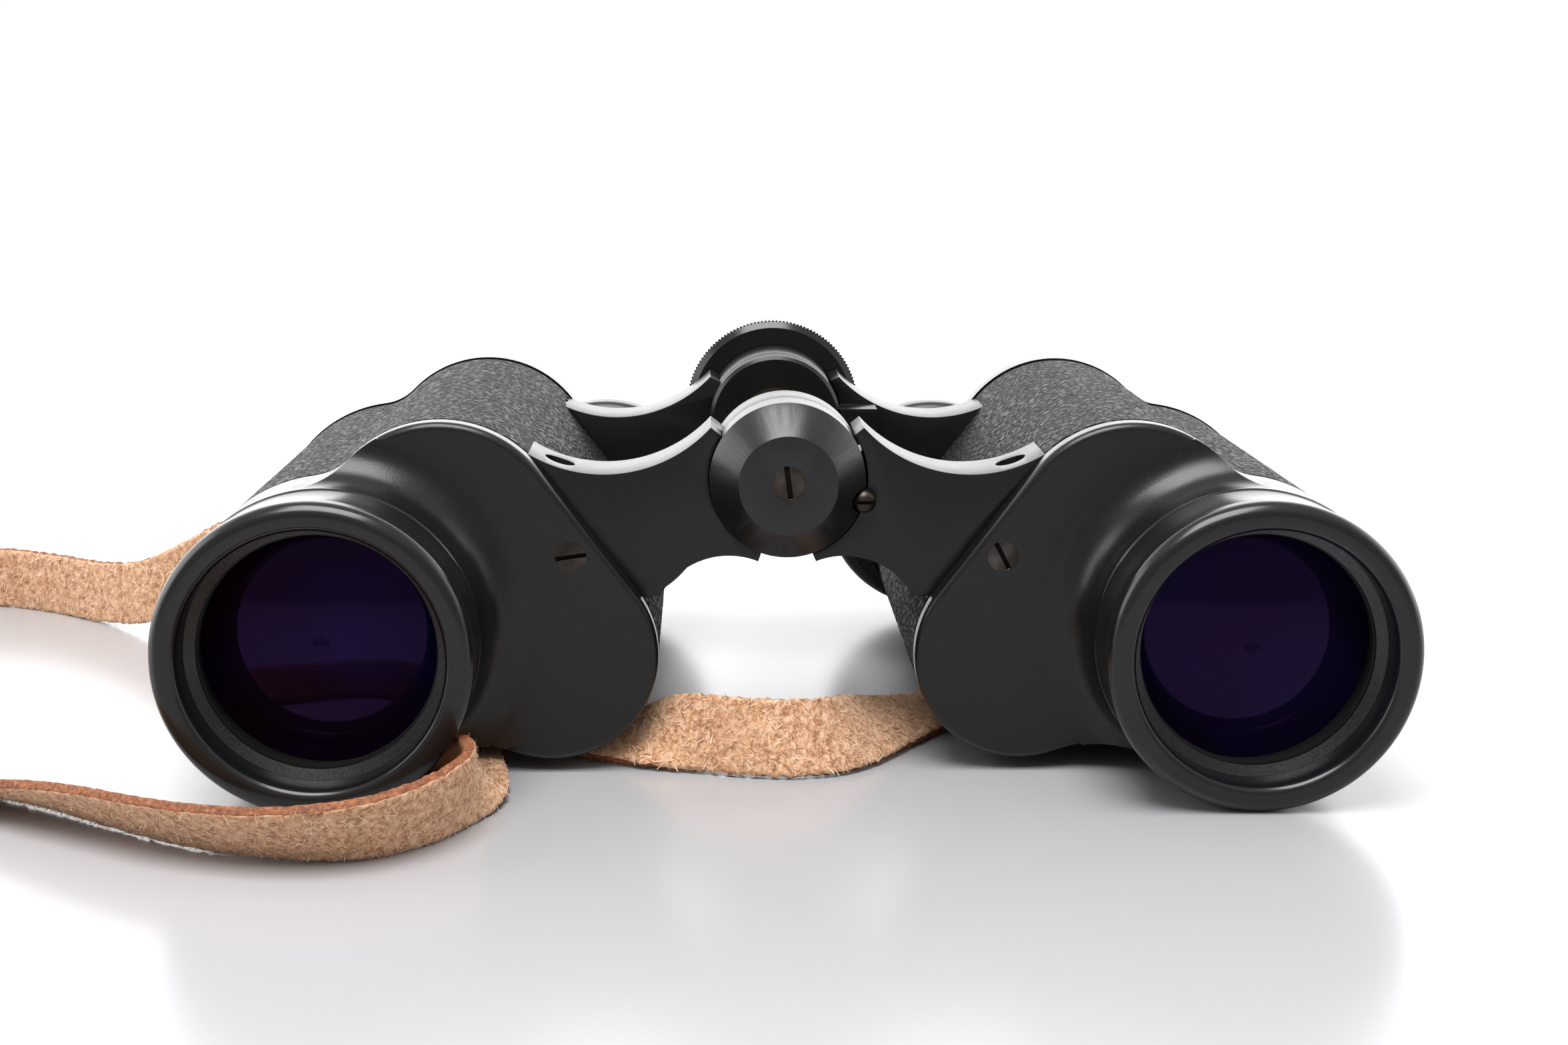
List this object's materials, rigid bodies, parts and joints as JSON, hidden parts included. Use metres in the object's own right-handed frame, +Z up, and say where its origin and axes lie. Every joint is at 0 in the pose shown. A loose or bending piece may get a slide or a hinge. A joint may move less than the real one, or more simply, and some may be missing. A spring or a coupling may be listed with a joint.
{
  "type": "binoculars",
  "caption": "Porro-prism binoculars with a folding centre hinge, centre focusing wheel, dioptre ring, eyecups and a leather neck strap.",
  "frame": {"origin": "on the surface that the binoculars stand on, below the middle of their width and length, without the strap", "axes": "+X to the right seen from the objectives, along the width; +Y from the objectives to the eyecups; +Z up"},
  "size_m": [0.2989, 0.1692, 0.0538],
  "materials": {
    "housing_paint": "satin",
    "cover_paint": "satin",
    "arm_paint": "satin",
    "ring_enamel": "semi-gloss",
    "cap_enamel": "satin",
    "inner_black": "matt",
    "leatherette": "pebbled",
    "blackened_steel": "blackened",
    "turned_dark_aluminium": "turned",
    "inner_aluminium": "matt",
    "spring_steel": "bright",
    "bronze_bush": "plain",
    "coated_glass": "coated",
    "prism_glass": "polished",
    "wheel_black": "knurled",
    "eyecup_plastic": "semi-gloss",
    "strap_leather": "suede"
  },
  "bodies": {
    "left_half": {"front_arm_left": "arm_paint", "rear_arm_left": "arm_paint", "prism_housing_left": "housing_paint", "leatherette_left": "leatherette", "front_cover_left": "cover_paint", "rear_cover_left": "cover_paint", "cover_screws_left": "blackened_steel", "strap_lug_left": "arm_paint", "objective_ring_left": "ring_enamel", "objective_cell_left": "inner_black", "objective_retainer_left": "turned_dark_aluminium", "objective_doublet_left": "coated_glass", "prism_shelf_left": "inner_aluminium", "front_prism_left": "prism_glass", "rear_prism_left": "prism_glass", "front_prism_clamp_left": "spring_steel", "rear_prism_clamp_left": "spring_steel", "eyepiece_guide_left": "ring_enamel", "hinge_axle": "blackened_steel", "hinge_cap": "cap_enamel", "hinge_screws": "blackened_steel", "neck_strap": "strap_leather"},
    "right_half": {"front_arm_right": "arm_paint", "rear_arm_right": "arm_paint", "prism_housing_right": "housing_paint", "leatherette_right": "leatherette", "front_cover_right": "cover_paint", "rear_cover_right": "cover_paint", "cover_screws_right": "blackened_steel", "strap_lug_right": "arm_paint", "objective_ring_right": "ring_enamel", "objective_cell_right": "inner_black", "objective_retainer_right": "turned_dark_aluminium", "objective_doublet_right": "coated_glass", "prism_shelf_right": "inner_aluminium", "front_prism_right": "prism_glass", "rear_prism_right": "prism_glass", "front_prism_clamp_right": "spring_steel", "rear_prism_clamp_right": "spring_steel", "eyepiece_guide_right": "ring_enamel", "hinge_sleeve": "arm_paint", "hinge_bushes": "bronze_bush", "strap_end_right": "strap_leather"},
    "focus_wheel": {"focus_wheel": "wheel_black"},
    "left_carriage": {"focus_spindle": "spring_steel", "bridge_nut": "blackened_steel", "bridge_arm_left": "arm_paint", "eyepiece_tube_left": "inner_aluminium", "eyepiece_collar_left": "ring_enamel", "field_lens_left": "coated_glass", "ocular_cell_left": "inner_black", "eye_lens_left": "coated_glass", "eyecup_left": "eyecup_plastic"},
    "right_carriage": {"bridge_arm_right": "arm_paint", "eyepiece_tube_right": "inner_aluminium", "field_lens_right": "coated_glass"},
    "diopter_ring": {"diopter_ring": "ring_enamel"},
    "right_ocular": {"ocular_cell_right": "inner_black", "eye_lens_right": "coated_glass", "eyecup_right": "eyecup_plastic"}
  },
  "joints": [
    {"name": "centre_hinge", "type": "hinge", "parent": "left_half", "child": "right_half", "pos_m": [0, -0.0055, 0.03976], "axis": [0, -1, 0], "range_deg": [0, 34]},
    {"name": "focus_turn", "type": "hinge", "parent": "left_half", "child": "focus_wheel", "pos_m": [0, 0.0375, 0.03976], "axis": [0, 1, 0], "range_deg": [-135, 225]},
    {"name": "left_focus_slide", "type": "slide", "parent": "left_half", "child": "left_carriage", "axis": [0, 1, 0], "range_m": [-0.00181, 0.00301]},
    {"name": "right_focus_slide", "type": "slide", "parent": "right_half", "child": "right_carriage", "axis": [0, 1, 0], "range_m": [-0.00181, 0.00301]},
    {"name": "dioptre_turn", "type": "hinge", "parent": "right_carriage", "child": "diopter_ring", "pos_m": [0.0282, 0.0495, 0.01986], "axis": [0, 1, 0], "range_deg": [-60, 60]},
    {"name": "dioptre_slide", "type": "slide", "parent": "right_carriage", "child": "right_ocular", "axis": [0, 1, 0], "range_m": [-0.00121, 0.00121]}
  ],
  "couplings": [
    {"joint": "left_focus_slide", "follows": "focus_turn", "m_per_rad": 0.00076394},
    {"joint": "right_focus_slide", "follows": "focus_turn", "m_per_rad": 0.00076394},
    {"joint": "dioptre_slide", "follows": "dioptre_turn", "m_per_rad": 0.0011459}
  ]
}
